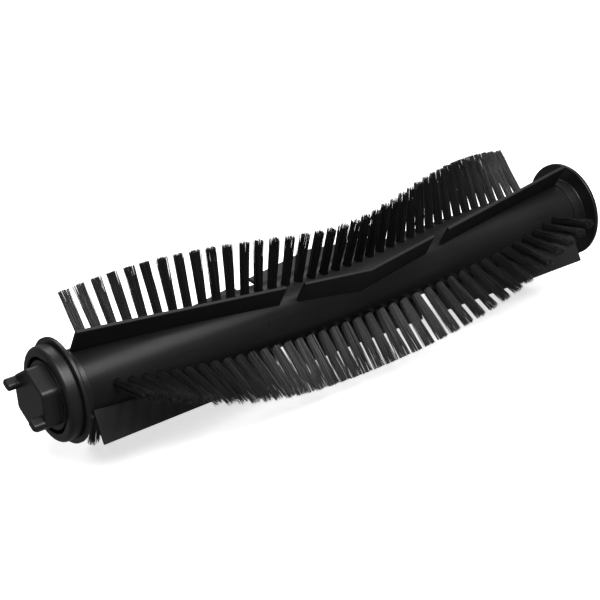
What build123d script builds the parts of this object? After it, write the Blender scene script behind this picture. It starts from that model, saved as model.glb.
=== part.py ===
from build123d import *
import os
from math import sqrt

# Brush roll of a wet and dry floor cleaner, in millimetres.
# X is the roll's axis. The origin is where that axis meets the outer face of the drive flange, and
# the roll lies towards -X, up to the bearing cap that the machine holds still. Angles turn about +X
# from +Z, so a positive angle leans towards -Y. Positions along the roll are measured from its middle.

MIDDLE_X = -90.6

# Core tube and the collars beside it.
CORE_RADIUS = 9.5
CORE_HALF_LENGTH = 85.5
CORE_BORE_RADIUS = 3.02
STUB_BORE_RADIUS = 3.25
STUB_BORE_END = -73.0
COLLAR_RADIUS = 9.8
COLLAR_FILLET = 0.4
LUG_COUNT = 3
LUG_ANGLE = 32.0
LUG_SIZE = (4.0, 3.0, 2.8)
LUG_RADIUS = 7.0
LUG_CLEARANCE = 0.05
MARK_STATIONS = (-30.0, 28.6)
MARK_ANGLE = 70.0
MARK_SIZE = (0.2, 2.6, 0.3)

# Bristle tufts: three V-shaped rows, each tuft standing on a radius of the core.
ROW_COUNT = 3
ROW_SPACING = 120.0
TUFT_COUNT = 38
TUFT_PITCH = 4.19
TUFT_ROW_MIDDLE = -0.4
TUFT_TIP_RADIUS = 25.0
TUFT_FOOT_RADIUS = 5.7
TUFT_HALF_WIDTH = 1.2
TUFT_TIP_HALF_WIDTHS = (1.35, 2.0)
TUFT_HOLE_HALF_WIDTH = 1.35
TUFT_HOLE_BOTTOM = 5.6
ROW_APEX_ANGLE = 14.5
ROW_APEX_X = -2.5
ROW_TURN_PER_MM = 1.06
ROW_BEND = 22.8
ANCHOR_SIZE = (0.3, 2.6, 1.6)
ANCHOR_FOOT = 6.0
ANCHOR_CLEARANCE = 0.01

# Wiper fins: three flat V-shaped blades between the tuft rows, each in three lengths.
FIN_DIRECTION = 27.5
FIN_HEIGHT = 16.7
FIN_THICKNESS = 1.0
FIN_EDGE_ROUND = 0.3
FIN_APEX_X = 1.8
FIN_APEX_OFFSET = 6.0
FIN_DRIFT_PER_MM = 0.1325
FIN_SPANS = {"cap_side": (-85.3, -25.1), "middle": (-19.2, 27.0), "drive_side": (33.2, 85.5)}
BEAD_LOW = 5.0
BEAD_HIGH = 6.0
BEAD_WIDTH = 2.0

# Guard disc and guard ring round the bearing cap.
DISC_RADIUS = 14.4
DISC_THICKNESS = 1.2
DISC_INNER_X = 88.8
NECK_RADIUS = 11.6
NECK_END = 91.8
RING_RADIUS = 12.95
RING_START = 90.0
RING_END = 93.8
RING_ROUND = 1.2
RING_BORE_RADIUS = 10.4
CAVITY_FLOOR = 90.6

# Ball bearing, 6 x 13 x 3.5 mm.
BEARING_BORE_RADIUS = 3.0
BEARING_RADIUS = 6.5
BEARING_WIDTH = 3.5
INNER_RACE_RADIUS = 4.1
OUTER_RACE_RADIUS = 5.4
BALL_CIRCLE_RADIUS = 4.75
BALL_RADIUS = 0.95
BALL_GROOVE_RADIUS = 1.0
BALL_COUNT = 8
CAGE_POCKET_RADIUS = 0.98
CAGE_RADII = (4.35, 5.15)
CAGE_WIDTH = 2.6
SHIELD_THICKNESS = 0.25
SHIELD_RADII = (4.35, 5.4)

# Bearing retainer and its screws.
RETAINER_RADII = (5.7, 9.6)
RETAINER_THICKNESS = 1.0
SCREW_COUNT = 3
SCREW_CIRCLE_RADIUS = 7.9
SCREW_HEAD_RADIUS = 1.4
SCREW_HEAD_HEIGHT = 0.5
SCREW_SHANK_RADIUS = 0.8
SCREW_LENGTH = 3.8
SCREW_PILOT_DEPTH = 4.0
SCREW_HOLE_RADIUS = 0.85

# Bearing cap: a disc with a hexagonal block and two prongs, on a steel stub axle.
CAP_TURN = -7.0
CAP_DISC_RADIUS = 9.5
CAP_DISC_BACK = 92.6
CAP_DISC_FRONT = 93.6
CAP_HUB_RADIUS = 3.9
HEX_ACROSS_FLATS = 16.0
HEX_FRONT = 98.6
HEX_CORNER_ROUND = 1.7
HEX_EDGE_ROUND = 0.7
PRONG_SIZE = (3.3, 2.2, 3.5)
PRONG_RADIUS = 7.0
PRONG_TURN = -60.0
PRONG_ROUND = 0.9
PRONG_TIP_ROUND = 0.8
PRONG_ROOT = 1.0
STUB_RADIUS = 2.98
STUB_HEAD = 97.4
STUB_TIP = 75.6
STUB_CHAMFER = 0.5

# Stiffening rod inside the core.
ROD_RADIUS = 3.0
ROD_ENDS = (-72.8, 78.0)

# Drive end: flange with its collar, and an insert with a hexagonal socket.
FLANGE_INNER_X = 89.4
FLANGE_OUTER_X = 90.6
FLANGE_RADIUS = 14.7
INSERT_RADIUS = 5.4
INSERT_START = 79.6
INSERT_HEAD_RADIUS = 7.0
INSERT_HEAD_START = 89.6
SOCKET_ACROSS_FLATS = 8.0
SOCKET_BOTTOM = 81.6

EDGE_ROUND = 0.3

# How far a cutting shape runs past the face that it cuts.
CUT_MARGIN = 1.0


def along(x):
    """Place something at x, measured from the roll's middle."""
    return Pos(MIDDLE_X + x, 0, 0)


def turned(profile, rounds=()):
    """Turn a profile of (x, radius) points about the roll's axis; rounds are (x, radius, fillet)."""
    section = make_face(Polyline(*profile, close=True))
    for x, radius, size in rounds:
        section = fillet(section.vertices().sort_by_distance((x, radius, 0))[0], size)
    return along(0) * revolve(section, Axis.X)


def rod(radius, start, end):
    """A round bar on the roll's axis."""
    return turned([(start, 0), (end, 0), (end, radius), (start, radius)])


def tube(inner, outer, start, end):
    """A ring on the roll's axis."""
    return turned([(start, inner), (end, inner), (end, outer), (start, outer)])


def hexagon_bar(across_flats, start, end, corner_round=0.0):
    """A hexagonal bar on the roll's axis, with one corner towards +Z."""
    outline = RegularPolygon(across_flats / 2, 6, major_radius=False, rotation=0)
    if corner_round:
        outline = fillet(outline.vertices(), corner_round)
    return along(start) * extrude(Plane.YZ * Rot(0, 0, 90) * outline, end - start)


# ---- bristle tufts ----

def tuft_stations():
    """Places of a row's tufts along the roll."""
    first = TUFT_ROW_MIDDLE - (TUFT_COUNT - 1) / 2 * TUFT_PITCH
    return [first + index * TUFT_PITCH for index in range(TUFT_COUNT)]


def tuft_place(row, x):
    """Frame of a tuft: +Z is its radius, and the V's arms bend into each other over ROW_BEND."""
    past_apex = sqrt((x - ROW_APEX_X) ** 2 + ROW_BEND ** 2) - ROW_BEND
    angle = ROW_APEX_ANGLE + row * ROW_SPACING - ROW_TURN_PER_MM * past_apex
    return along(x) * Rot(angle, 0, 0)


def upright_bar(half_width, bottom, top):
    """A round bar along +Z between two heights."""
    return extrude(Pos(0, 0, bottom) * Circle(half_width), top - bottom)


def anchor(clearance=0.0):
    """The flat metal anchor that holds a folded tuft at the foot of its hole."""
    thickness, width, height = ANCHOR_SIZE
    block = Box(thickness + 2 * clearance, width + 2 * clearance, height + 2 * clearance)
    return Pos(0, 0, ANCHOR_FOOT + height / 2) * block


def tuft():
    """A bundle that is round in its hole and fans out, most of all sideways, to its trimmed tip."""
    shank = upright_bar(TUFT_HALF_WIDTH, TUFT_FOOT_RADIUS, CORE_RADIUS)
    mouth = Pos(0, 0, CORE_RADIUS) * Circle(TUFT_HALF_WIDTH)
    tip = Pos(0, 0, TUFT_TIP_RADIUS) * Ellipse(*TUFT_TIP_HALF_WIDTHS)
    return shank + loft([mouth, tip]) - anchor(ANCHOR_CLEARANCE)


def row_of(piece, row):
    """Copies of a piece at every tuft of a row, as separate solids."""
    return Compound([tuft_place(row, x) * piece for x in tuft_stations()])


# ---- wiper fins ----

def fin_offset(x):
    """Sideways offset of a blade, which runs straight from its apex to each end."""
    return FIN_APEX_OFFSET - FIN_DRIFT_PER_MM * abs(x - FIN_APEX_X)


def fin_band(span, width, low, high):
    """A V-shaped band of a blade, standing along +Z between two heights."""
    start, end = span
    stations = [start, end]
    if start < FIN_APEX_X < end:
        stations.insert(1, FIN_APEX_X)
    near = [(x, -fin_offset(x) - width / 2) for x in stations]
    far = [(x, -fin_offset(x) + width / 2) for x in reversed(stations)]
    outline = make_face(Polyline(*near, *far, close=True))
    return along(0) * extrude(Pos(0, 0, low) * outline, high - low)


def fin_shape(span, edge_round=0.0):
    """A blade with its bead; with square edges it is the room that the two take in the core."""
    blade = fin_band(span, FIN_THICKNESS, BEAD_LOW, FIN_HEIGHT)
    if edge_round:
        top_edges = blade.edges().group_by(Axis.Z)[-1]
        blade = fillet(top_edges.filter_by(lambda edge: edge.length > 2 * FIN_THICKNESS), edge_round)
    return blade + fin_band(span, BEAD_WIDTH, BEAD_LOW, BEAD_HIGH)


def fin_place(fin):
    return Rot(FIN_DIRECTION + fin * ROW_SPACING, 0, 0)


# ---- core ----

def lugs(inner_face, direction, clearance=0.0):
    """Three lugs that carry the torque between an end piece and the core."""
    length, width, height = LUG_SIZE
    block = Box(length + clearance, width + 2 * clearance, height + 2 * clearance)
    centre = along(inner_face + direction * (length + clearance) / 2)
    block = centre * Pos(0, 0, LUG_RADIUS) * block
    return [Rot(LUG_ANGLE + index * 360 / LUG_COUNT, 0, 0) * block for index in range(LUG_COUNT)]


def tuft_holes(row):
    hole = upright_bar(TUFT_HOLE_HALF_WIDTH, TUFT_HOLE_BOTTOM, CORE_RADIUS + CUT_MARGIN)
    return [tuft_place(row, x) * hole for x in tuft_stations()]


def seam_marks(row):
    """Two short shallow grooves across a side of the core, left by the joints of its mould."""
    groove = Pos(0, 0, CORE_RADIUS) * Box(*MARK_SIZE)
    return [along(x) * Rot(MARK_ANGLE + row * ROW_SPACING, 0, 0) * groove for x in MARK_STATIONS]


def core_tube():
    end = CORE_HALF_LENGTH
    body = turned([
        (-end, STUB_BORE_RADIUS), (STUB_BORE_END, STUB_BORE_RADIUS), (STUB_BORE_END, CORE_BORE_RADIUS),
        (INSERT_START, CORE_BORE_RADIUS), (INSERT_START, INSERT_RADIUS), (end, INSERT_RADIUS),
        (end, CORE_RADIUS), (-end, CORE_RADIUS),
    ])
    cuts = lugs(-end, 1, LUG_CLEARANCE) + lugs(end, -1, LUG_CLEARANCE)
    for row in range(ROW_COUNT):
        cuts += tuft_holes(row) + seam_marks(row)
        cuts += [fin_place(row) * fin_shape(span) for span in FIN_SPANS.values()]
    return body - cuts


# ---- bearing end ----

def bearing_housing():
    """Collar, guard disc and bearing seat in one moulding, with its lugs and screw holes."""
    disc_outer = DISC_INNER_X + DISC_THICKNESS
    shoulder = CAVITY_FLOOR - BEARING_WIDTH
    body = turned([
        (-CORE_HALF_LENGTH, STUB_BORE_RADIUS), (-CORE_HALF_LENGTH, COLLAR_RADIUS),
        (-DISC_INNER_X, COLLAR_RADIUS), (-DISC_INNER_X, DISC_RADIUS),
        (-disc_outer, DISC_RADIUS), (-disc_outer, NECK_RADIUS),
        (-NECK_END, NECK_RADIUS), (-NECK_END, RING_BORE_RADIUS),
        (-CAVITY_FLOOR, RING_BORE_RADIUS), (-CAVITY_FLOOR, BEARING_RADIUS),
        (-shoulder, BEARING_RADIUS), (-shoulder, STUB_BORE_RADIUS),
    ], rounds=[(-DISC_INNER_X, DISC_RADIUS, EDGE_ROUND), (-disc_outer, DISC_RADIUS, EDGE_ROUND),
               (-DISC_INNER_X, COLLAR_RADIUS, COLLAR_FILLET)])
    for lug in lugs(-CORE_HALF_LENGTH, 1):
        body += lug
    holes = [place * rod(SCREW_SHANK_RADIUS, -CAVITY_FLOOR, SCREW_PILOT_DEPTH - CAVITY_FLOOR)
             for place in screw_places()]
    return body - holes


def guard_ring():
    """The ring round the cap, snapped over the housing's neck."""
    return turned([
        (-RING_START, NECK_RADIUS), (-RING_START, RING_RADIUS), (-RING_END, RING_RADIUS),
        (-RING_END, RING_BORE_RADIUS), (-NECK_END, RING_BORE_RADIUS), (-NECK_END, NECK_RADIUS),
    ], rounds=[(-RING_END, RING_RADIUS, RING_ROUND), (-RING_END, RING_BORE_RADIUS, EDGE_ROUND),
               (-RING_START, RING_RADIUS, EDGE_ROUND)])


def bearing_centre():
    return BEARING_WIDTH / 2 - CAVITY_FLOOR


def ball_groove():
    """The ring-shaped channel that the balls roll in."""
    return along(bearing_centre()) * Rot(0, 90, 0) * Torus(BALL_CIRCLE_RADIUS, BALL_GROOVE_RADIUS)


def race(inner, outer):
    start = -CAVITY_FLOOR
    return tube(inner, outer, start, start + BEARING_WIDTH) - ball_groove()


def round_the_bearing(piece):
    """Copies of a piece at every ball."""
    spacing = 360 / BALL_COUNT
    outwards = along(bearing_centre()) * Pos(0, 0, BALL_CIRCLE_RADIUS)
    return [Rot(index * spacing, 0, 0) * outwards * piece for index in range(BALL_COUNT)]


def bearing_balls():
    return Compound(round_the_bearing(Sphere(BALL_RADIUS)))


def bearing_cage():
    inner, outer = CAGE_RADII
    centre = bearing_centre()
    band = tube(inner, outer, centre - CAGE_WIDTH / 2, centre + CAGE_WIDTH / 2)
    return band - round_the_bearing(Cylinder(CAGE_POCKET_RADIUS, 2 * BALL_RADIUS))


def bearing_shield(start):
    return tube(*SHIELD_RADII, start, start + SHIELD_THICKNESS)


def screw_places():
    """The retainer screws stand midway between the lugs."""
    spacing = 360 / SCREW_COUNT
    return [Rot(LUG_ANGLE + (index + 0.5) * spacing, 0, 0) * Pos(0, 0, SCREW_CIRCLE_RADIUS)
            for index in range(SCREW_COUNT)]


def retainer():
    """The plate that keeps the bearing in its seat."""
    back = -CAVITY_FLOOR
    front = back - RETAINER_THICKNESS
    hole = rod(SCREW_HOLE_RADIUS, front - CUT_MARGIN, back + CUT_MARGIN)
    holes = [place * hole for place in screw_places()]
    return tube(*RETAINER_RADII, front, back) - holes


def retainer_screws():
    seat = -CAVITY_FLOOR - RETAINER_THICKNESS
    shank = rod(SCREW_SHANK_RADIUS, seat, SCREW_LENGTH - CAVITY_FLOOR)
    head = rod(SCREW_HEAD_RADIUS, seat - SCREW_HEAD_HEIGHT, seat)
    return Compound([place * (shank + head) for place in screw_places()])


# ---- bearing cap ----

def hex_block():
    block = hexagon_bar(HEX_ACROSS_FLATS, -HEX_FRONT, -CAP_DISC_FRONT, HEX_CORNER_ROUND)
    return fillet(block.edges().group_by(Axis.X)[0], HEX_EDGE_ROUND)


def prong():
    """A rounded bar on the block's front face, near a corner."""
    length, width, depth = PRONG_SIZE
    bar = Box(length + PRONG_ROOT, width, depth)
    bar = fillet(bar.edges().filter_by(Axis.X), PRONG_ROUND)
    bar = fillet(bar.edges().group_by(Axis.X)[0], PRONG_TIP_ROUND)
    return along(-HEX_FRONT + (PRONG_ROOT - length) / 2) * Pos(0, 0, PRONG_RADIUS) * bar


def bearing_cap():
    disc = turned([
        (-CAP_DISC_FRONT, 0), (-CAP_DISC_FRONT, CAP_DISC_RADIUS), (-CAP_DISC_BACK, CAP_DISC_RADIUS),
        (-CAP_DISC_BACK, CAP_HUB_RADIUS), (-CAVITY_FLOOR, CAP_HUB_RADIUS), (-CAVITY_FLOOR, 0),
    ], rounds=[(-CAP_DISC_FRONT, CAP_DISC_RADIUS, EDGE_ROUND)])
    body = disc + hex_block()
    for turn in (PRONG_TURN, PRONG_TURN + 180):
        body += Rot(turn, 0, 0) * prong()
    body -= rod(STUB_RADIUS, -STUB_HEAD, -CAVITY_FLOOR)
    return Rot(CAP_TURN, 0, 0) * body


def stub_axle():
    """The steel pin that is moulded into the cap and runs in the bearing."""
    tip = -STUB_TIP
    return turned([
        (-STUB_HEAD, 0), (-STUB_HEAD, STUB_RADIUS), (tip - STUB_CHAMFER, STUB_RADIUS),
        (tip, STUB_RADIUS - STUB_CHAMFER), (tip, 0),
    ])


# ---- drive end ----

def drive_flange():
    """Flange and collar in one moulding, with its lugs."""
    body = turned([
        (CORE_HALF_LENGTH, INSERT_RADIUS), (INSERT_HEAD_START, INSERT_RADIUS),
        (INSERT_HEAD_START, INSERT_HEAD_RADIUS), (FLANGE_OUTER_X, INSERT_HEAD_RADIUS),
        (FLANGE_OUTER_X, FLANGE_RADIUS), (FLANGE_INNER_X, FLANGE_RADIUS),
        (FLANGE_INNER_X, COLLAR_RADIUS), (CORE_HALF_LENGTH, COLLAR_RADIUS),
    ], rounds=[(FLANGE_INNER_X, FLANGE_RADIUS, EDGE_ROUND), (FLANGE_OUTER_X, FLANGE_RADIUS, EDGE_ROUND),
               (FLANGE_INNER_X, COLLAR_RADIUS, COLLAR_FILLET)])
    for lug in lugs(CORE_HALF_LENGTH, -1):
        body += lug
    return body


def drive_insert():
    """Headed bush with the hexagonal socket that the machine's drive peg enters."""
    bush = turned([
        (INSERT_START, 0), (INSERT_START, INSERT_RADIUS), (INSERT_HEAD_START, INSERT_RADIUS),
        (INSERT_HEAD_START, INSERT_HEAD_RADIUS), (FLANGE_OUTER_X, INSERT_HEAD_RADIUS),
        (FLANGE_OUTER_X, 0),
    ])
    return bush - hexagon_bar(SOCKET_ACROSS_FLATS, SOCKET_BOTTOM, FLANGE_OUTER_X)


def build():
    """Every piece by its name."""
    pieces = {
        "core_tube": core_tube(),
        "stiffening_rod": rod(ROD_RADIUS, *ROD_ENDS),
        "bearing_housing": bearing_housing(),
        "guard_ring": guard_ring(),
        "bearing_outer_race": race(OUTER_RACE_RADIUS, BEARING_RADIUS),
        "bearing_inner_race": race(BEARING_BORE_RADIUS, INNER_RACE_RADIUS),
        "bearing_balls": bearing_balls(),
        "bearing_cage": bearing_cage(),
        "bearing_shield_front": bearing_shield(-CAVITY_FLOOR),
        "bearing_shield_rear": bearing_shield(BEARING_WIDTH - SHIELD_THICKNESS - CAVITY_FLOOR),
        "bearing_retainer": retainer(),
        "retainer_screws": retainer_screws(),
        "bearing_cap": bearing_cap(),
        "stub_axle": stub_axle(),
        "drive_flange": drive_flange(),
        "drive_insert": drive_insert(),
    }
    for row in range(ROW_COUNT):
        pieces[f"tufts_row_{row + 1}"] = row_of(tuft(), row)
        pieces[f"tuft_anchors_row_{row + 1}"] = row_of(anchor(), row)
        for name, span in FIN_SPANS.items():
            pieces[f"fin_{row + 1}_{name}"] = fin_place(row) * fin_shape(span, FIN_EDGE_ROUND)
    return pieces


os.makedirs("parts", exist_ok=True)
for name, shape in build().items():
    export_step(shape, f"parts/{name}.step")
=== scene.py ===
import math
import random

import bmesh
import bpy
from mathutils import Matrix, Vector


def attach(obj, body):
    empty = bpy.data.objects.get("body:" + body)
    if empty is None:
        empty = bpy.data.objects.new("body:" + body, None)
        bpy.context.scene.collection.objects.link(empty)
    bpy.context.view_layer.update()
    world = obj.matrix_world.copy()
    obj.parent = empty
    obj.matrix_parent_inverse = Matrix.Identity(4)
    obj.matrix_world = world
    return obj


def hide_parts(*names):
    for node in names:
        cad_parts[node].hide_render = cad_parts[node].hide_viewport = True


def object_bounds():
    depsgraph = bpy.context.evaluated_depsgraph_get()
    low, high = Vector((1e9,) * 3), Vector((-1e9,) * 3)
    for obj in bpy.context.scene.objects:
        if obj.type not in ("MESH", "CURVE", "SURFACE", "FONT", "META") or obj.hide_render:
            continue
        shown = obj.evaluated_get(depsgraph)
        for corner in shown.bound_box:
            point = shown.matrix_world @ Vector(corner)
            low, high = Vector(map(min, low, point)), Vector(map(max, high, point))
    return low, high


# Looks of the brush roll: bristle filaments, moulded plastic, wiper fins, bearing metal, studio and
# camera. Everything is in metres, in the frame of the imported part: X is the roll's axis.

MM = 0.001
AXIS_X = Vector((1.0, 0.0, 0.0))

ROWS = (1, 2, 3)
FIN_LENGTHS = ("cap_side", "middle", "drive_side")

# Bristle filaments. Each tuft is a bundle of thin tubes.
FILAMENTS_PER_TUFT = 84
FILAMENT_RADIUS = 0.105 * MM
FILAMENT_SIDES = 5
GOLDEN_ANGLE = math.pi * (3.0 - math.sqrt(5.0))

# Where a filament has its rings, as shares of its length. The last two stand close together, which
# keeps the shading of the cut end off the rest of it.
FILAMENT_HEIGHTS = (0.0, 0.18, 0.6, 0.985, 1.0)

# The share of its radius that a filament loses at its tip. A high power keeps the taper near the tip.
TIP_TAPER = 0.55
TIP_TAPER_POWER = 8

# A bundle's radius at its foot, and how much wider it is at its tips: along the roll, by row, and
# round the roll.
BUNDLE_RADIUS = 1.16 * MM
SPREAD_ALONG = {1: 0.22, 2: 0.60, 3: 0.45}
SPREAD_ACROSS = 0.08

# A bundle is folded into two lobes, and its filaments lie in clumps that drift apart. Clumps differ
# in shade, and the rest of a filament's shade is its own.
LOBE_SPLIT = 0.12 * MM
CLUMPS_PER_TUFT = 7
CLUMP_DRIFT = 0.15 * MM
CLUMP_SHADE_SHARE = 0.6

# How far a filament's cut end may lie below or above the end of the CAD tuft.
TRIM_LOW = -0.16 * MM
TRIM_HIGH = 0.12 * MM

# How far a tuft leans at its tips, and each filament leans and bows. A few loose ones lean further.
TUFT_LEAN = 0.12 * MM
FILAMENT_WANDER = 0.09 * MM
FILAMENT_BOW = 0.07 * MM
LOOSE_SHARE = 0.05
LOOSE_WANDER = 2.2

# CAD vertices that are further apart than this along X belong to different tufts.
TUFT_GAP = 1.0 * MM

# Patterns in a finish. A stretch below 1 draws the pattern out in that direction.
ALONG_THE_ROLL_FLOW = (0.12, 1.0, 1.0)
ALONG_THE_ROLL_SCUFF = (0.08, 1.0, 1.0)
ALONG_THE_ROLL_LINE = (0.05, 1.0, 1.0)
ROUND_THE_ROLL_RING = (1.0, 0.04, 0.04)

# Moulded plastic: its darkest and lightest colour, and the size of its grain and of its soft edges.
CORE_PLASTIC = {
    "dark": (0.0055, 0.0055, 0.0058), "light": (0.009, 0.009, 0.0094),
    "roughness": 0.36, "specular": 0.17, "grain": 0.30 * MM, "edge_radius": 0.12 * MM,
}
END_PLASTIC = {
    "dark": (0.006, 0.006, 0.0063), "light": (0.010, 0.010, 0.0104),
    "roughness": 0.34, "specular": 0.30, "grain": 0.22 * MM, "edge_radius": 0.22 * MM,
}
CAP_PLASTIC = {
    "dark": (0.007, 0.007, 0.0073), "light": (0.011, 0.011, 0.0114),
    "roughness": 0.34, "specular": 0.30, "grain": 0.20 * MM, "edge_radius": 0.25 * MM,
}
INSERT_PLASTIC = {
    "dark": (0.030, 0.030, 0.032), "light": (0.045, 0.045, 0.047),
    "roughness": 0.48, "specular": 0.50, "grain": 0.25 * MM, "edge_radius": 0.20 * MM,
}
PLASTIC_CLOUD_SIZE = 14 * MM
PLASTIC_FLOW_SIZE = 2.2 * MM
PLASTIC_SCUFF_SIZE = 0.5 * MM
PLASTIC_RUBBED_BRIGHTER = 3.0
PLASTIC_EDGE_WEAR = 0.35
PLASTIC_EDGE_POLISH = 0.08
PLASTIC_SCUFF_WEAR = 0.10
PLASTIC_GRAIN_DEPTH = 0.012 * MM
PLASTIC_FLOW_DEPTH = 0.008 * MM

# The rubbery fins.
FIN_BLACK = (0.0045, 0.0045, 0.0047)
FIN_BLOOM = (0.0078, 0.0078, 0.0081)
FIN_LINE = (0.012, 0.012, 0.0125)
FIN_WORN_EDGE = (0.034, 0.034, 0.035)
FIN_BLOOM_SIZE = 9 * MM
FIN_LINE_SIZE = 0.45 * MM
FIN_GRAIN_SIZE = 0.16 * MM
FIN_EDGE_RADIUS = 0.2 * MM
FIN_EDGE_WEAR = 0.5
FIN_RELIEF = 0.010 * MM
FIN_SPECULAR = 0.3

# The nylon of the bristles.
NYLON_DARK = (0.0008, 0.0008, 0.0009)
NYLON_LIGHT = (0.010, 0.010, 0.0104)
NYLON_DRAWN = (0.012, 0.012, 0.0124)
NYLON_CUT = (0.012, 0.012, 0.0125)
NYLON_DRAWN_SIZE = 0.5 * MM
NYLON_DRAWN_DEPTH = 0.004 * MM
NYLON_CUT_START = 0.97
NYLON_SPECULAR = 0.45

# Machined metal: its darkest and lightest colour, and the size of its soft edges.
STEEL = {
    "dark": (0.42, 0.42, 0.43), "light": (0.58, 0.58, 0.59), "roughness": 0.30, "edge_radius": 0.10 * MM,
}
BEARING_STEEL = {
    "dark": (0.50, 0.50, 0.52), "light": (0.66, 0.66, 0.68), "roughness": 0.18, "edge_radius": 0.08 * MM,
}
CAGE_BRASS = {
    "dark": (0.52, 0.36, 0.14), "light": (0.70, 0.50, 0.22), "roughness": 0.28, "edge_radius": 0.06 * MM,
}
ANCHOR_STEEL = {
    "dark": (0.38, 0.37, 0.36), "light": (0.55, 0.54, 0.52), "roughness": 0.35, "edge_radius": 0.05 * MM,
}
METAL_PATCH_SIZE = 3 * MM
METAL_RING_SIZE = 0.12 * MM
METAL_RING_DEPTH = 0.004 * MM
METAL_EDGE_WEAR = 0.4
METAL_WORN_BRIGHTER = 1.3

# Studio. A light is (azimuth, elevation, distance, size, power).
TOP_LIGHT = (8.0, 65.0, 0.8, (0.9, 0.50), 13.0)
BACK_LIGHT = (205.0, 40.0, 1.0, (0.9, 0.40), 3.5)
WORLD_STRENGTH = 0.20
WHITE = (1.0, 1.0, 1.0, 1.0)
FLOOR_SIZE = 8.0
FLOOR_GLOW = 0.65
PAPER_DARK = (0.86, 0.86, 0.86)
PAPER_LIGHT = (0.88, 0.88, 0.88)
PAPER_TONE_SIZE = 60 * MM
PAPER_TOOTH_SIZE = 0.8 * MM
PAPER_TOOTH_DEPTH = 0.01 * MM

# Camera.
CAMERA_AZIMUTH = 36.37
CAMERA_ELEVATION = 29.19
CAMERA_DISTANCE = 0.44955
CAMERA_TARGET_OFFSET = Vector((-7.05, 0.85, 0.82)) * MM
CAMERA_LENS = 95.6
CAMERA_SENSOR = 36.0
CAMERA_NEAREST = 0.01


# ---- node helpers ----

class Nodes:
    """A small helper that adds and links nodes in one new material."""

    def __init__(self, name):
        self.material = bpy.data.materials.new(name)
        self.material.use_nodes = True
        self.tree = self.material.node_tree
        self.shader = self.tree.nodes["Principled BSDF"]
        self.place = self.add("ShaderNodeTexCoord").outputs["Object"]

    def add(self, kind, **values):
        """A new node of this kind, with these properties set."""
        node = self.tree.nodes.new(kind)
        for name, value in values.items():
            setattr(node, name, value)
        return node

    def link(self, source, target):
        self.tree.links.new(source, target)

    def stretched(self, scale):
        """The object's coordinates, scaled by three factors."""
        mapping = self.add("ShaderNodeMapping")
        mapping.inputs["Scale"].default_value = scale
        self.link(self.place, mapping.inputs["Vector"])
        return mapping.outputs["Vector"]

    def noise(self, size, detail=3.0, place=None):
        """Noise whose features are about this size, in metres."""
        texture = self.add("ShaderNodeTexNoise")
        texture.inputs["Scale"].default_value = 1.0 / size
        texture.inputs["Detail"].default_value = detail
        self.link(place or self.place, texture.inputs["Vector"])
        return texture.outputs["Fac"]

    def spread(self, value, low, high, start=0.3, end=0.7):
        """A value from start to end, mapped to the range from low to high."""
        node = self.add("ShaderNodeMapRange")
        for name, number in (("From Min", start), ("From Max", end), ("To Min", low), ("To Max", high)):
            node.inputs[name].default_value = number
        self.link(value, node.inputs["Value"])
        return node.outputs["Result"]

    def math(self, operation, first, second):
        """A sum, difference or product of two values, each a float or a socket."""
        node = self.add("ShaderNodeMath", operation=operation)
        for socket, value in zip(node.inputs, (first, second)):
            if isinstance(value, float):
                socket.default_value = value
            else:
                self.link(value, socket)
        return node.outputs["Value"]

    def mix(self, factor, first, second):
        """A colour between two, each a colour or a socket."""
        node = self.add("ShaderNodeMix", data_type="RGBA")
        self.link(factor, node.inputs["Factor"])
        for name, value in (("A", first), ("B", second)):
            socket = [s for s in node.inputs if s.name == name and s.type == "RGBA"][0]
            if isinstance(value, tuple):
                socket.default_value = (*value, 1.0)
            else:
                self.link(value, socket)
        return [s for s in node.outputs if s.type == "RGBA"][0]

    def rounded_edges(self, radius):
        """Shading normals that round every edge by this radius."""
        node = self.add("ShaderNodeBevel", samples=6)
        node.inputs["Radius"].default_value = radius
        return node.outputs["Normal"]

    def edge_mask(self, rounded):
        """About 1 along edges and 0 on faces."""
        geometry = self.add("ShaderNodeNewGeometry")
        dot = self.add("ShaderNodeVectorMath", operation="DOT_PRODUCT")
        self.link(rounded, dot.inputs[0])
        self.link(geometry.outputs["Normal"], dot.inputs[1])
        return self.spread(dot.outputs["Value"], 1.0, 0.0, start=0.86, end=0.995)

    def bump(self, height, depth, normal=None):
        """Normals that this height raises by up to this depth, in metres."""
        node = self.add("ShaderNodeBump")
        node.inputs["Distance"].default_value = depth
        self.link(height, node.inputs["Height"])
        if normal:
            self.link(normal, node.inputs["Normal"])
        return node.outputs["Normal"]

    def finish(self, colour, roughness, normal):
        """Links the three to the shader and returns the material."""
        self.link(colour, self.shader.inputs["Base Color"])
        self.link(roughness, self.shader.inputs["Roughness"])
        self.link(normal, self.shader.inputs["Normal"])
        return self.material


# ---- materials ----

def brighter(colour, factor):
    """A colour made brighter by this factor, and no brighter than white."""
    return tuple(min(1.0, factor * channel) for channel in colour)


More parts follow.
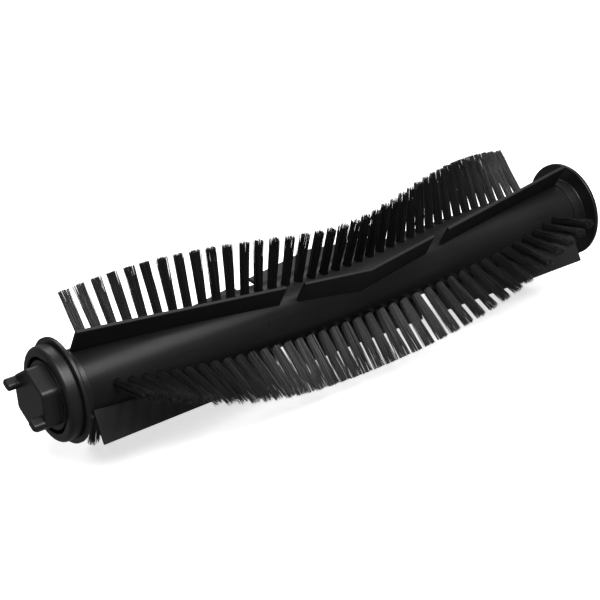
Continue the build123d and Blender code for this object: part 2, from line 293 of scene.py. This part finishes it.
def moulded_plastic(name, dark, light, roughness, specular, grain, edge_radius):
    """Moulded plastic: fine spark-eroded grain, faint flow marks, rubbed edges and hairline scuffs."""
    n = Nodes(name)
    rounded = n.rounded_edges(edge_radius)
    edges = n.edge_mask(rounded)
    cloud = n.spread(n.noise(PLASTIC_CLOUD_SIZE), 0.0, 1.0)
    flow = n.spread(n.noise(PLASTIC_FLOW_SIZE, place=n.stretched(ALONG_THE_ROLL_FLOW)), 0.0, 1.0)
    fine = n.noise(grain, detail=2.0)
    streaks = n.noise(PLASTIC_SCUFF_SIZE, place=n.stretched(ALONG_THE_ROLL_SCUFF))
    scuffs = n.spread(streaks, 0.0, 1.0, start=0.64, end=0.72)
    base = n.mix(n.math("MULTIPLY", n.math("ADD", cloud, flow), 0.5), dark, light)
    rubbed = brighter(light, PLASTIC_RUBBED_BRIGHTER)
    colour = n.mix(n.math("MULTIPLY", edges, PLASTIC_EDGE_WEAR), base, rubbed)
    colour = n.mix(n.math("MULTIPLY", scuffs, PLASTIC_SCUFF_WEAR), colour, rubbed)
    gloss = n.math("ADD", n.spread(cloud, -0.03, 0.03, start=0.0, end=1.0),
                   n.spread(fine, roughness - 0.03, roughness + 0.04))
    gloss = n.math("SUBTRACT", gloss, n.math("MULTIPLY", edges, PLASTIC_EDGE_POLISH))
    normal = n.bump(fine, PLASTIC_GRAIN_DEPTH, rounded)
    normal = n.bump(flow, PLASTIC_FLOW_DEPTH, normal)
    n.shader.inputs["Specular IOR Level"].default_value = specular
    return n.finish(colour, gloss, normal)


def elastomer():
    """Rubbery fin: matt black with a dusty bloom, calender lines along its length and soft edges."""
    n = Nodes("fin_elastomer_look")
    rounded = n.rounded_edges(FIN_EDGE_RADIUS)
    edges = n.edge_mask(rounded)
    bloom = n.spread(n.noise(FIN_BLOOM_SIZE, detail=5.0), 0.0, 1.0)
    lines = n.noise(FIN_LINE_SIZE, place=n.stretched(ALONG_THE_ROLL_LINE))
    fine = n.noise(FIN_GRAIN_SIZE, detail=2.0)
    colour = n.mix(bloom, FIN_BLACK, FIN_BLOOM)
    colour = n.mix(n.spread(lines, 0.0, 0.25), colour, FIN_LINE)
    colour = n.mix(n.math("MULTIPLY", edges, FIN_EDGE_WEAR), colour, FIN_WORN_EDGE)
    gloss = n.math("ADD", n.spread(bloom, 0.50, 0.58, start=0.0, end=1.0), n.spread(fine, -0.03, 0.03))
    normal = n.bump(fine, FIN_RELIEF, rounded)
    normal = n.bump(lines, FIN_RELIEF, normal)
    n.shader.inputs["Specular IOR Level"].default_value = FIN_SPECULAR
    return n.finish(colour, gloss, normal)


def bristle_nylon():
    """Black nylon monofilament: each strand has its own shade, and its cut tip is a little paler."""
    n = Nodes("bristle_nylon_look")
    strand = n.add("ShaderNodeAttribute", attribute_name="strand").outputs["Fac"]
    height = n.add("ShaderNodeAttribute", attribute_name="height").outputs["Fac"]
    drawn = n.noise(NYLON_DRAWN_SIZE, detail=2.0)
    colour = n.mix(strand, NYLON_DARK, NYLON_LIGHT)
    colour = n.mix(n.spread(drawn, 0.0, 0.3), colour, NYLON_DRAWN)
    colour = n.mix(n.spread(height, 0.0, 0.3, start=NYLON_CUT_START, end=1.0), colour, NYLON_CUT)
    gloss = n.math("ADD", n.spread(strand, 0.55, 0.26, start=0.0, end=1.0), n.spread(drawn, -0.05, 0.05))
    normal = n.bump(drawn, NYLON_DRAWN_DEPTH)
    n.shader.inputs["Specular IOR Level"].default_value = NYLON_SPECULAR
    return n.finish(colour, gloss, normal)


def turned_metal(name, dark, light, roughness, edge_radius):
    """Machined metal: fine turning rings about the roll's axis, with stained patches."""
    n = Nodes(name)
    rounded = n.rounded_edges(edge_radius)
    edges = n.edge_mask(rounded)
    patches = n.spread(n.noise(METAL_PATCH_SIZE, detail=4.0), 0.0, 1.0)
    rings = n.noise(METAL_RING_SIZE, place=n.stretched(ROUND_THE_ROLL_RING))
    colour = n.mix(patches, dark, light)
    wear = n.math("MULTIPLY", edges, METAL_EDGE_WEAR)
    colour = n.mix(wear, colour, brighter(light, METAL_WORN_BRIGHTER))
    gloss = n.math("ADD", n.spread(patches, roughness - 0.05, roughness + 0.06, start=0.0, end=1.0),
                   n.spread(rings, -0.05, 0.05))
    normal = n.bump(rings, METAL_RING_DEPTH, rounded)
    n.shader.inputs["Metallic"].default_value = 1.0
    return n.finish(colour, gloss, normal)


def floor_paper():
    """Pale studio paper with a faint tooth. It glows a little, which keeps the shadows light."""
    n = Nodes("floor_paper")
    tone = n.spread(n.noise(PAPER_TONE_SIZE), 0.0, 1.0)
    tooth = n.noise(PAPER_TOOTH_SIZE)
    colour = n.mix(tone, PAPER_DARK, PAPER_LIGHT)
    n.shader.inputs["Emission Color"].default_value = WHITE
    n.shader.inputs["Emission Strength"].default_value = FLOOR_GLOW
    return n.finish(colour, n.spread(tooth, 0.75, 0.85), n.bump(tooth, PAPER_TOOTH_DEPTH))


def paint_cad_nodes(nodes):
    """Gives every CAD node that stays in view its finish."""
    core = moulded_plastic("core_plastic_look", **CORE_PLASTIC)
    end = moulded_plastic("end_plastic_look", **END_PLASTIC)
    cap = moulded_plastic("cap_plastic_look", **CAP_PLASTIC)
    insert = moulded_plastic("insert_plastic_look", **INSERT_PLASTIC)
    rubber = elastomer()
    steel = turned_metal("steel_look", **STEEL)
    bearing = turned_metal("bearing_steel_look", **BEARING_STEEL)
    brass = turned_metal("cage_brass_look", **CAGE_BRASS)
    anchor = turned_metal("anchor_steel_look", **ANCHOR_STEEL)
    looks = {
        "core_tube": core, "bearing_housing": end, "guard_ring": end, "drive_flange": end,
        "bearing_cap": cap, "drive_insert": insert, "stiffening_rod": steel, "stub_axle": steel,
        "retainer_screws": steel, "bearing_retainer": steel, "bearing_outer_race": bearing,
        "bearing_inner_race": bearing, "bearing_balls": bearing, "bearing_shield_front": bearing,
        "bearing_shield_rear": bearing, "bearing_cage": brass,
    }
    for row in ROWS:
        looks[f"tuft_anchors_row_{row}"] = anchor
        for length in FIN_LENGTHS:
            looks[f"fin_{row}_{length}"] = rubber
    for name, look in looks.items():
        nodes[name].data.materials.clear()
        nodes[name].data.materials.append(look)


# ---- bristles ----

def tuft_axes(node):
    """Each tuft of a CAD row as (x, direction, foot, tip). Its tufts stand apart along X."""
    points = sorted((vertex.co for vertex in node.data.vertices), key=lambda point: point.x)
    groups = [[points[0]]]
    for before, point in zip(points, points[1:]):
        if point.x - before.x > TUFT_GAP:
            groups.append([])
        groups[-1].append(point)
    axes = []
    for group in groups:
        middle = sum(group, Vector()) / len(group)
        direction = Vector((0.0, middle.y, middle.z)).normalized()
        heights = [point.dot(direction) for point in group]
        x = (group[0].x + group[-1].x) / 2
        axes.append((x, direction, min(heights), max(heights)))
    return axes


def clump_of(along):
    """Which clump a filament belongs to; the clumps lie side by side along the roll."""
    share = (along / BUNDLE_RADIUS + 1.0) / 2
    return min(CLUMPS_PER_TUFT - 1, int(share * CLUMPS_PER_TUFT))


def filament_line(along, across, spread, lean, rng):
    """One filament's middle line in its tuft's frame, as (along, across, share of the height)."""
    lobe = math.copysign(LOBE_SPLIT, along)
    wander = FILAMENT_WANDER * (LOOSE_WANDER if rng.random() < LOOSE_SHARE else 1.0)
    drift = Vector((rng.gauss(0, wander), rng.gauss(0, wander)))
    bow = Vector((rng.gauss(0, FILAMENT_BOW), rng.gauss(0, FILAMENT_BOW)))
    line = []
    for share in FILAMENT_HEIGHTS:
        arch = math.sin(math.pi * share)
        bend = share ** 2
        line.append((
            along * (1.0 + spread * share) + (lobe + drift.x + lean.x) * bend + bow.x * arch,
            across * (1.0 + SPREAD_ACROSS * share) + (drift.y + lean.y) * bend + bow.y * arch,
            share,
        ))
    return line


def add_filament(mesh, layers, rings, strand):
    """A thin tube through the rings' centres, closed at both ends."""
    strand_layer, height_layer = layers
    previous = None
    for centre, side_a, side_b, share in rings:
        radius = FILAMENT_RADIUS * (1.0 - TIP_TAPER * share ** TIP_TAPER_POWER)
        ring = []
        for corner in range(FILAMENT_SIDES):
            turn = 2 * math.pi * corner / FILAMENT_SIDES
            offset = side_a * math.cos(turn) + side_b * math.sin(turn)
            vertex = mesh.verts.new(centre + offset * radius)
            vertex[strand_layer] = strand
            vertex[height_layer] = share
            ring.append(vertex)
        if previous:
            for corner in range(FILAMENT_SIDES):
                after = (corner + 1) % FILAMENT_SIDES
                side = mesh.faces.new((previous[corner], previous[after], ring[after], ring[corner]))
                side.smooth = True
        else:
            mesh.faces.new(reversed(ring))
        previous = ring
    mesh.faces.new(previous)


def add_tuft(mesh, layers, axis, spread, rng):
    """A folded bundle: two lobes that part towards the trimmed tips, each made up of clumps."""
    x, direction, foot, tip = axis
    across = direction.cross(AXIS_X)
    lean = Vector((rng.gauss(0, TUFT_LEAN), rng.gauss(0, TUFT_LEAN)))
    clumps = []
    for _ in range(CLUMPS_PER_TUFT):
        drift = Vector((rng.gauss(0, CLUMP_DRIFT), rng.gauss(0, CLUMP_DRIFT)))
        clumps.append((rng.random(), lean + drift))
    for index in range(FILAMENTS_PER_TUFT):
        radius = BUNDLE_RADIUS * math.sqrt((index + 0.5) / FILAMENTS_PER_TUFT)
        turn = index * GOLDEN_ANGLE
        place = (radius * math.cos(turn), radius * math.sin(turn))
        shade, clump_lean = clumps[clump_of(place[0])]
        strand = CLUMP_SHADE_SHARE * shade + (1.0 - CLUMP_SHADE_SHARE) * rng.random()
        trim = rng.uniform(TRIM_LOW, TRIM_HIGH)
        rings = []
        for along, sideways, share in filament_line(*place, spread, clump_lean, rng):
            height = foot + (tip + trim - foot) * share
            centre = AXIS_X * (x + along) + across * sideways + direction * height
            rings.append((centre, AXIS_X, across, share))
        add_filament(mesh, layers, rings, strand)


def bristle_row(row, node, material):
    """All the filaments of one row, standing for the CAD row's plain flared solids."""
    rng = random.Random(row)
    mesh = bmesh.new()
    layers = (mesh.verts.layers.float.new("strand"), mesh.verts.layers.float.new("height"))
    for axis in tuft_axes(node):
        add_tuft(mesh, layers, axis, SPREAD_ALONG[row], rng)
    data = bpy.data.meshes.new(f"bristles_row_{row}")
    mesh.to_mesh(data)
    mesh.free()
    data.materials.append(material)
    piece = bpy.data.objects.new(f"bristles_row_{row}", data)
    bpy.context.scene.collection.objects.link(piece)
    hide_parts(f"tufts_row_{row}")
    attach(piece, "roll")


# ---- studio ----

def add_floor(height):
    """A wide pale sheet under the object. It throws no light on the object and isn't mirrored in it."""
    bpy.ops.mesh.primitive_plane_add(size=FLOOR_SIZE, location=(0.0, 0.0, height))
    floor = bpy.context.object
    floor.name = "studio_floor"
    floor.data.materials.append(floor_paper())
    floor.visible_diffuse = False
    floor.visible_glossy = False


def looking_at(target, azimuth, elevation, distance):
    """The placement of a camera or a light that looks at the target from that direction.

    The azimuth turns from -Y towards -X.
    """
    turn, rise = math.radians(azimuth), math.radians(elevation)
    away = Vector((-math.sin(turn) * math.cos(rise), -math.cos(turn) * math.cos(rise), math.sin(rise)))
    rotation = away.to_track_quat("Z", "Y").to_matrix().to_4x4()
    return Matrix.Translation(target + away * distance) @ rotation


def add_softbox(name, target, azimuth, elevation, distance, size, power):
    """A rectangular area light that looks at the target."""
    light = bpy.data.lights.new(name, "AREA")
    light.shape = "RECTANGLE"
    light.size, light.size_y = size
    light.energy = power
    lamp = bpy.data.objects.new(name, light)
    bpy.context.scene.collection.objects.link(lamp)
    lamp.matrix_world = looking_at(target, azimuth, elevation, distance)


def add_world(strength):
    """Even white light from all round."""
    world = bpy.data.worlds.new("studio_world")
    bpy.context.scene.world = world
    world.use_nodes = True
    background = world.node_tree.nodes["Background"]
    background.inputs["Color"].default_value = WHITE
    background.inputs["Strength"].default_value = strength


def add_camera(target):
    """The scene's camera, looking at the target."""
    data = bpy.data.cameras.new("camera")
    data.lens = CAMERA_LENS
    data.sensor_width = CAMERA_SENSOR
    data.clip_start = CAMERA_NEAREST
    camera = bpy.data.objects.new("camera", data)
    bpy.context.scene.collection.objects.link(camera)
    camera.matrix_world = looking_at(target, CAMERA_AZIMUTH, CAMERA_ELEVATION, CAMERA_DISTANCE)
    bpy.context.scene.camera = camera


def build_studio(low, high):
    """The floor under the box from low to high, the lights on it and the camera."""
    centre = (low + high) / 2
    add_floor(low.z)
    add_softbox("top_light", centre, *TOP_LIGHT)
    add_softbox("back_light", centre, *BACK_LIGHT)
    add_world(WORLD_STRENGTH)
    add_camera(centre + CAMERA_TARGET_OFFSET)
    bpy.context.scene.view_settings.view_transform = "Standard"


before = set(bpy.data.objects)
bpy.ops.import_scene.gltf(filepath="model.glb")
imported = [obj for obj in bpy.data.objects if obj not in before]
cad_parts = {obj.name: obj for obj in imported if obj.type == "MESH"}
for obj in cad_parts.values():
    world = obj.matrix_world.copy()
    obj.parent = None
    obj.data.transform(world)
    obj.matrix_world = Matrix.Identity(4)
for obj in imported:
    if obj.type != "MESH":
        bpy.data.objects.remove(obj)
cad_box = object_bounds()
paint_cad_nodes(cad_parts)
nylon = bristle_nylon()
for row in ROWS:
    bristle_row(row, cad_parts[f"tufts_row_{row}"], nylon)
build_studio(*cad_box)
